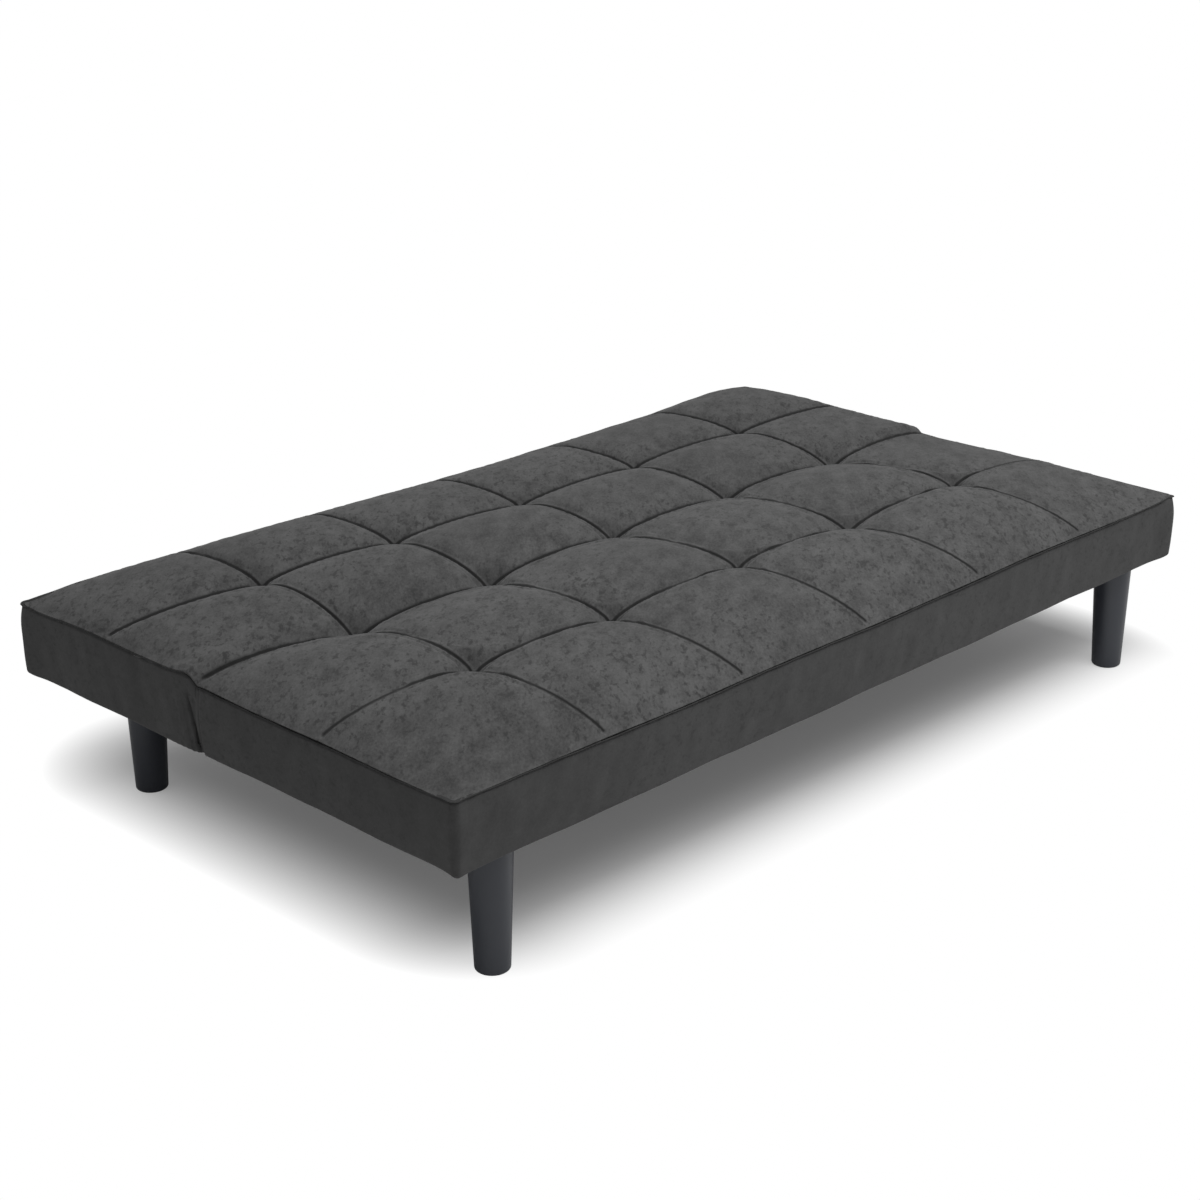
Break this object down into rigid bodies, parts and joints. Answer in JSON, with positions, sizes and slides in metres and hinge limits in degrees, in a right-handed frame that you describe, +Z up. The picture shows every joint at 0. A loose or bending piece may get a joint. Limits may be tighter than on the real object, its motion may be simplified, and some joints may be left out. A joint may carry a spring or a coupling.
{
  "type": "sofa bed",
  "caption": "Click-clack sofa bed with tufted suede-look cushions, a back half that folds flat on ratchet hinges, and round tapered legs.",
  "frame": {"origin": "on the floor, under the centre of the flat bed's bounding box", "axes": "+X along the bed to the sitter's left, +Y from the front edge towards the back half, +Z up"},
  "size_m": [1.7804, 1.0444, 0.3558],
  "materials": {
    "cover_cloth": "suede-like nap",
    "welt_cloth": "suede-like nap",
    "dust_cloth": "non-woven, matte",
    "foam": "open-cell, matte",
    "webbing": "woven elastic",
    "twine": "twisted",
    "pine": "sawn, unfinished",
    "leg_plastic": "satin",
    "cap_plastic": "matte",
    "black_steel": "satin powder coat",
    "buffer_rubber": "matte",
    "zinc_steel": "zinc plated",
    "hinge_steel": "pressed, oiled"
  },
  "bodies": {
    "seat": {"seat_quilted_top": "cover_cloth", "seat_boxing": "cover_cloth", "fold_strip": "cover_cloth", "left_end_gusset": "cover_cloth", "right_end_gusset": "cover_cloth", "seat_welt": "welt_cloth", "seat_dust_cover": "dust_cloth", "seat_foam": "foam", "seat_webbing": "webbing", "seat_tuft_ties": "twine", "seat_front_rail": "pine", "seat_inner_rail": "pine", "seat_left_end_rail": "pine", "seat_right_end_rail": "pine", "seat_slats": "pine", "front_left_leg": "leg_plastic", "front_right_leg": "leg_plastic", "rear_left_leg": "leg_plastic", "rear_right_leg": "leg_plastic", "arm_end_caps": "cap_plastic", "left_rear_arm": "black_steel", "right_rear_arm": "black_steel", "rest_buffers": "buffer_rubber", "leg_studs": "zinc_steel", "arm_bolts": "zinc_steel", "tee_nuts": "zinc_steel", "leg_weld_nuts": "zinc_steel", "hinge_seat_bolts": "zinc_steel", "hinge_seat_nuts": "zinc_steel", "left_hinge_rivets": "zinc_steel", "right_hinge_rivets": "zinc_steel", "left_seat_plate": "hinge_steel", "left_cover_plate": "hinge_steel", "left_pawl_spring": "hinge_steel", "right_seat_plate": "hinge_steel", "right_cover_plate": "hinge_steel", "right_pawl_spring": "hinge_steel"},
    "back": {"back_quilted_top": "cover_cloth", "back_boxing": "cover_cloth", "back_welt": "welt_cloth", "back_dust_cover": "dust_cloth", "back_foam": "foam", "back_webbing": "webbing", "back_tuft_ties": "twine", "back_rear_rail": "pine", "back_inner_rail": "pine", "back_left_end_rail": "pine", "back_right_end_rail": "pine", "back_slats": "pine", "hinge_back_bolts": "zinc_steel", "hinge_back_nuts": "zinc_steel", "left_back_plate": "hinge_steel", "right_back_plate": "hinge_steel"},
    "left_pawl": {"left_pawl": "hinge_steel"},
    "right_pawl": {"right_pawl": "hinge_steel"}
  },
  "joints": [
    {"name": "recline", "type": "hinge", "parent": "seat", "child": "back", "pos_m": [0, 0.048, 0.309], "axis": [1, 0, 0], "range_deg": [0, 80], "deforming": ["fold_strip", "left_end_gusset", "right_end_gusset"]},
    {"name": "left_pawl_swing", "type": "hinge", "parent": "seat", "child": "left_pawl", "pos_m": [-0.8462, 0.018, 0.267], "axis": [1, 0, 0], "range_deg": [0, 14], "stiffness_Nm_per_rad": 0.1, "springref_deg": 28.65, "deforming": ["left_pawl_spring"]},
    {"name": "right_pawl_swing", "type": "hinge", "parent": "seat", "child": "right_pawl", "pos_m": [0.8462, 0.018, 0.267], "axis": [1, 0, 0], "range_deg": [0, 14], "stiffness_Nm_per_rad": 0.1, "springref_deg": 28.65, "deforming": ["right_pawl_spring"]}
  ]
}
